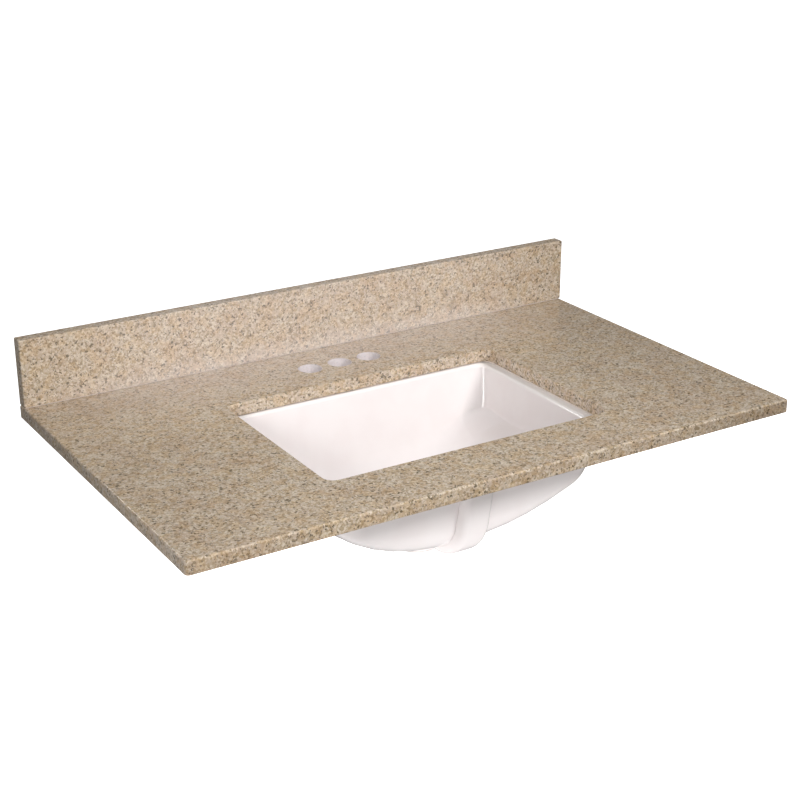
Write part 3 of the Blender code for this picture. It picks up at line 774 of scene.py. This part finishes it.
# Anchors. Brass inserts, turned from bar and knurled, set in blind holes in the slab's underside, one near
# each corner of the bowl. Each carries the stud of a clip set.
anchor_low, anchor_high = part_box("anchor_front_left")
stud_low, stud_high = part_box("stud_front_left")
stud_radius = (stud_high.x - stud_low.x) / 2
fit_clearance = 0.0004
fit_radius = stud_radius + fit_clearance
anchor_radius = (anchor_high.x - anchor_low.x) / 2
anchor_chamfer = 0.0004
knurl_count = 28
knurl_depth = 0.00028
knurl_from = fit_radius + 0.0006


def lathe(profile, sides, bite=None, closed=True):
    """A piece turned from its radii and heights, its surface let in by a bite at each turn and height."""
    rings = []
    for radius, height in profile:
        ring = []
        for i in range(sides):
            turn = math.tau * i / sides
            reach = radius - (bite(turn, height, radius) if bite else 0)
            ring.append(Vector((reach * math.cos(turn), reach * math.sin(turn), height)))
        rings.append(ring)
    if not closed:
        return capped(rings)
    shape = bmesh.new()
    band(shape, rings, closed=True)
    return shape


def knurl(turn, _, radius):
    """Straight knurls on the outside of an anchor."""
    return knurl_depth * (0.5 - 0.5 * math.cos(knurl_count * turn)) if radius >= knurl_from else 0


def worn_metal(name, bright, dull, stain, gloss, grain):
    """Metal, bright where it's handled, with a dull film and a few stains."""
    place, varies = new_finish(name, Metallic=1.0)
    film = place.noise(0.004, 4.0)
    spots = place.noise(0.0016, 3.0).rise(0.62, 0.72)
    body = film.rise(0.35, 0.65).over(bright, dull)
    body = (spots * 0.5).over(body, stain)
    scratches = place.noise(0.0005, 2.0)
    rough = gloss + film * 0.18 + spots * 0.2
    return varies(Base_Color=body, Roughness=rough, Normal=(film + scratches * grain).bump(0.00006))


def fit_at_corners(name, mesh, finish, slot, kind, moves=True):
    """Fits one piece of the clip set near each corner of the bowl, the rear ones turned about."""
    for where, spot in stations.items():
        node = f"{kind}_{where}"
        at = (Vector((spot.x, spot.y, 0)), (0, 0, math.pi if spot.y > bowl_y else 0.0))
        fit(f"{name}_{where}", mesh, (finish,), node if moves else "root", slot, node, at=at)


anchor_profile = [
    (fit_radius, anchor_high.z - anchor_chamfer),
    (fit_radius, anchor_chamfer),
    (fit_radius + anchor_chamfer, 0),
    (anchor_radius - anchor_chamfer, 0),
    (anchor_radius, anchor_chamfer),
    (anchor_radius, anchor_high.z - 2 * anchor_chamfer),
    (anchor_radius - anchor_chamfer, anchor_high.z),
    (fit_radius + anchor_chamfer, anchor_high.z),
]
brass_colours = (colour(214, 178, 110), colour(188, 150, 86), colour(136, 104, 58))
brass = worn_metal("turned_brass", *brass_colours, gloss=0.26, grain=0.2)
anchor = mesh_of(lathe(anchor_profile, knurl_count * 6, knurl))
fit_at_corners("turned_anchor", anchor, brass, "brass", "anchor", moves=False)


# Studs. Steel rods with a rolled thread, zinc plated, one screwed into each anchor. They stay in the stone,
# and the rest of each clip set hangs on them.
thread_pitch = 0.00127
thread_depth = 0.00065
thread_flat = 0.12
thread_run_out = 0.0009


def thread(turn, height, _):
    """A helical thread, its crests and roots a little flat, run out at both ends of the stud."""
    phase = (height / thread_pitch - turn / math.tau) % 1
    crest = min(max((1 - abs(2 * phase - 1) - thread_flat) / (1 - 2 * thread_flat), 0), 1)
    from_end = min(height - stud_low.z, stud_high.z - height)
    return max((1 - crest) * thread_depth, thread_run_out - from_end)


levels_per_turn = 8
levels = round((stud_high.z - stud_low.z) / thread_pitch * levels_per_turn)
stud_profile = [(stud_radius, between(stud_low.z, stud_high.z, i / levels)) for i in range(levels + 1)]
zinc_colours = (colour(206, 208, 206), colour(176, 178, 174), colour(150, 146, 132))
zinc = worn_metal("zinc_plate", *zinc_colours, gloss=0.24, grain=0.3)
stud = mesh_of(lathe(stud_profile, 32, thread, closed=False))
fit_at_corners("threaded_stud", stud, zinc, "zinc_plated_steel", "stud", moves=False)


# Clips. Straps of zinc-plated steel, blanked, slotted for the stud and bent. The toe of each presses the
# bowl's flange up, and its heel is turned up against the slab.
clip_low, clip_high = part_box("clip_front_left")
strap = 0.0025
bend = 0.0035
toe_round = 0.003
clip_half_width = (clip_high.x - clip_low.x) / 2
clip_slot_half_length = 0.011 / 2
strap_top = clip_low.z + strap
heel, toe = (edge.y - stations["front_left"].y for edge in (clip_low, clip_high))


def spread(start, end, count):
    """Points along a line, its first end included, closer together near that end."""
    shares = [(i / count) ** 2 for i in range(count)]
    return [(between(start[0], end[0], s), between(start[1], end[1], s)) for s in shares]


def strap_side(toe_end, bent, heel_end):
    """One side of the strap seen from its edge, from the toe round the bend to the heel."""
    return [*spread(toe_end, bent[0], 10), *bent, *spread(bent[-1], heel_end, 4)[1:], heel_end]


def clip_shape():
    """The bent strap: its side view run across its width, its corners at the toe cut round."""
    centre = (heel + bend, clip_low.z + bend)
    outside = arc(centre, bend, -math.pi / 2, -math.pi, steps=10)
    inside = arc(centre, bend - strap, -math.pi / 2, -math.pi, steps=10)
    below = strap_side((toe, clip_low.z), outside, (heel, clip_high.z))
    above = strap_side((toe, strap_top), inside, (heel + strap, clip_high.z))
    rings = []
    for near, far in zip(below, above):
        half_width = clip_half_width
        from_toe = toe - near[0]
        if near[1] == clip_low.z and from_toe < toe_round:
            half_width -= toe_round - math.sqrt(toe_round**2 - (toe_round - from_toe) ** 2)
        corners = ((-half_width, *near), (half_width, *near), (half_width, *far), (-half_width, *far))
        rings.append([Vector(corner) for corner in corners])
    return capped(rings)


def clip_slot():
    """The slot that lets the clip slide on its stud, as a block to cut with."""
    size = (fit_radius, clip_slot_half_length, fit_radius - sliver)
    heights = (clip_low.z - bend, strap_top + bend)
    return capped([rounded_ring(*size, height, corner_steps=12) for height in heights])


clip = carved(mesh_of(clip_shape()), clip_slot())
fit_at_corners("bent_clip", clip, zinc, "zinc_plated_steel", "clip")


# Washers. Stamped from zinc-plated steel, so that their edges are round on one side and sharp on the other.
# Each lies between a clip and its wing nut.
washer_low, washer_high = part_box("washer_front_left")
washer_radius = (washer_high.x - washer_low.x) / 2
roll = 0.0004
burr = 0.00012
washer_profile = [
    (fit_radius, washer_low.z + burr),
    (fit_radius + burr, washer_low.z),
    (washer_radius - burr, washer_low.z),
    (washer_radius, washer_low.z + burr),
    *arc((washer_radius - roll, washer_high.z - roll), roll, 0, math.pi / 2, steps=5),
    *arc((fit_radius + roll, washer_high.z - roll), roll, math.pi / 2, math.pi, steps=5),
]
washer = mesh_of(lathe(washer_profile, 64))
fit_at_corners("stamped_washer", washer, zinc, "zinc_plated_steel", "washer")


# Wing nuts. Zinc-plated castings, upside down on their studs: a conical hub, and two wings that lean out
# below it. Turned by hand, each draws its washer and clip up tight.
nut_low, nut_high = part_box("wing_nut_front_left")
hub, nose = 0.0115 / 2, 0.0095 / 2
hub_height = 0.007
wing_reach = (nut_high.x - nut_low.x) / 2
wing_drop = nut_high.z - nut_low.z
wing_half_thickness = 0.0022 / 2
wing_tip = 0.0035
wing_root = 0.0015
wing_round = 0.0004
seat_countersink = 0.0006
hub_profile = [
    (hub - 0.0004, 0),
    (hub, 0.0004),
    (hub, 0.0011),
    ((hub + nose) / 2, 0.0024),
    (nose, 0.0048),
    (nose - 0.0002, hub_height - 0.0006),
    (nose - 0.0008, hub_height),
]
wing_outline = [
    (nose - wing_root, hub_height / 3),
    (nose + 0.0012, hub_height * 0.42),
    *arc((wing_reach - wing_tip, wing_drop - wing_tip), wing_tip, -0.15 * math.pi, 0.75 * math.pi, steps=16),
    (nose + 0.0016, hub_height * 0.94),
    (nose - wing_root, hub_height * 0.97),
]


def wing_nut_shape():
    """The hub and the wings, their radii and reaches given at depths below the seat."""
    shape = lathe([(radius, nut_high.z - depth) for radius, depth in hub_profile], 64, closed=False)
    outline = [Vector(point) for point in wing_outline]
    middle = sum(outline, Vector((0, 0))) / len(outline)
    for side in (-1, 1):
        rings = []
        for layer, drawn_in in ((-1, wing_round), (-0.75, 0), (0.75, 0), (1, wing_round)):
            ring = []
            for point in outline:
                reach, depth = point + (middle - point).normalized() * drawn_in
                taper = between(1.15, 0.85, (reach - nose) / (wing_reach - nose))
                ring.append(Vector((side * reach, layer * wing_half_thickness * taper, nut_high.z - depth)))
            rings.append(ring)
        capped(rings, shape)
    return shape


def nut_bore():
    """The hole through the nut, its mouth at the seat countersunk."""
    mouth = fit_radius + seat_countersink
    profile = [
        (fit_radius, nut_low.z - bend),
        (fit_radius, nut_high.z - 0.0005),
        (mouth, nut_high.z + 0.0001),
        (mouth, nut_high.z + bend),
    ]
    return lathe(profile, 48, closed=False)


# One voxel skin over the hub and wings, worn a little smooth, gives the soft inner corners of a casting
casting = ("REMESH", {"mode": "VOXEL", "voxel_size": 0.00022})
tumbling = ("SMOOTH", {"factor": 0.5, "iterations": 5})
wing_nut = carved(worked(mesh_of(wing_nut_shape()), casting, tumbling), nut_bore())
fit_at_corners("cast_wing_nut", wing_nut, zinc, "zinc_plated_steel", "wing_nut")


# Studio. A white sweep with no horizon, which only the camera sees, and a glow from the front and back. Small
# panels to the right and left cast the shades in the bowl, soft ones above, behind and below fill them, and
# two windows glint in the glaze.
sweep_radius = 12.0
sweep = bmesh.new()
sweep.faces.new([sweep.verts.new(point) for point in round_ring(sweep_radius, cad_low.z, sides=96)])
sweep_mesh = mesh_of(sweep)
place, varies = new_finish("white_sweep", Roughness=0.9, Emission_Strength=1.0)
paper = place.noise(0.4).over(colour(250, 250, 250), colour(255, 255, 255))
sweep_mesh.materials.append(varies(Base_Color=paper, Emission_Color=paper))
floor = bpy.data.objects.new("floor", sweep_mesh)
bpy.context.scene.collection.objects.link(floor)
floor.visible_diffuse = floor.visible_glossy = floor.visible_transmission = floor.visible_shadow = False

world = bpy.data.worlds.new("studio")
world.use_nodes = True
bpy.context.scene.world = world
nodes, links = world.node_tree.nodes, world.node_tree.links
sky = Wire(nodes.new("ShaderNodeTexCoord").outputs["Generated"])
frontward = sky.node("ShaderNodeVectorMath", {"operation": "DOT_PRODUCT"}, {0: sky, 1: (0, -1, 0)}, 1)
glow = frontward.sum("ABSOLUTE", frontward) * 0.2 + 0.035
air = nodes["Background"]
air.inputs["Color"].default_value = (1, 1, 1, 1)
links.new(glow.socket, air.inputs["Strength"])
backdrop = nodes.new("ShaderNodeBackground")
backdrop.inputs["Color"].default_value = (1, 1, 1, 1)
backdrop.inputs["Strength"].default_value = 1.0
rays = nodes.new("ShaderNodeLightPath")
mixed = nodes.new("ShaderNodeMixShader")
links.new(rays.outputs["Is Camera Ray"], mixed.inputs[0])
links.new(air.outputs[0], mixed.inputs[1])
links.new(backdrop.outputs[0], mixed.inputs[2])
links.new(mixed.outputs[0], nodes["World Output"].inputs[0])


def panel(name, at, size, brightness, aim=(0, bowl_y, 0), glints=False):
    """A soft panel, as bright as white paper times its brightness, that only lights or only glints."""
    light = bpy.data.lights.new(name, "AREA")
    light.shape, light.size, light.size_y = "RECTANGLE", *size
    light.energy = brightness * math.pi * size[0] * size[1]
    item = bpy.data.objects.new(name, light)
    item.location = at
    item.rotation_euler = (Vector(aim) - Vector(at)).to_track_quat("-Z", "Y").to_euler()
    item.visible_diffuse = not glints
    item.visible_glossy = glints
    bpy.context.scene.collection.objects.link(item)


lip_right = (0.214, -0.375, 0)
panel("key_panel", at=(1.2, -2.9, 1.9), size=(0.6, 0.6), brightness=62)
panel("left_panel", at=(-1.75, -1.3, 1.0), size=(0.35, 0.45), brightness=32)
panel("front_panel", at=(0.1, -1.3, 0.9), size=(0.5, 0.4), brightness=3.4)
panel("top_panel", at=(0.05, -0.25, 1.0), size=(0.5, 0.5), brightness=2)
panel("wall_panel", at=(0, 0.5, 0.8), size=(1.2, 0.3), brightness=0.7, aim=(0, 0, 0))
panel("low_panel", at=(-1.0, -1.5, 0.3), size=(0.3, 0.3), brightness=15)
panel("foot_panel", at=(0, bowl_y, -0.188), size=(0.9, 0.5), brightness=1.6)
panel("window", at=(-2.0, -0.1, 0.45), size=(0.2, 0.6), brightness=16, glints=True)
panel("rear_window", at=(-0.8, 1.08, 0.93), size=(0.13, 0.13), brightness=36, aim=lip_right, glints=True)

camera = bpy.data.cameras.new("camera")
camera.lens = 71.49
camera.sensor_width = 36.0
azimuth, elevation, roll = math.radians(-31.680), math.radians(21.922), math.radians(-0.071)
back = Vector((
    math.sin(azimuth) * math.cos(elevation),
    -math.cos(azimuth) * math.cos(elevation),
    math.sin(elevation),
))
tripod = bpy.data.objects.new("camera", camera)
tripod.location = (-1.10633, -2.04617, 0.86471)
tripod.rotation_mode = "QUATERNION"
tripod.rotation_quaternion = (-back).to_track_quat("-Z", "Y") @ Quaternion((0, 0, 1), roll)
bpy.context.scene.collection.objects.link(tripod)
bpy.context.scene.camera = tripod
bpy.context.scene.view_settings.view_transform = "Standard"
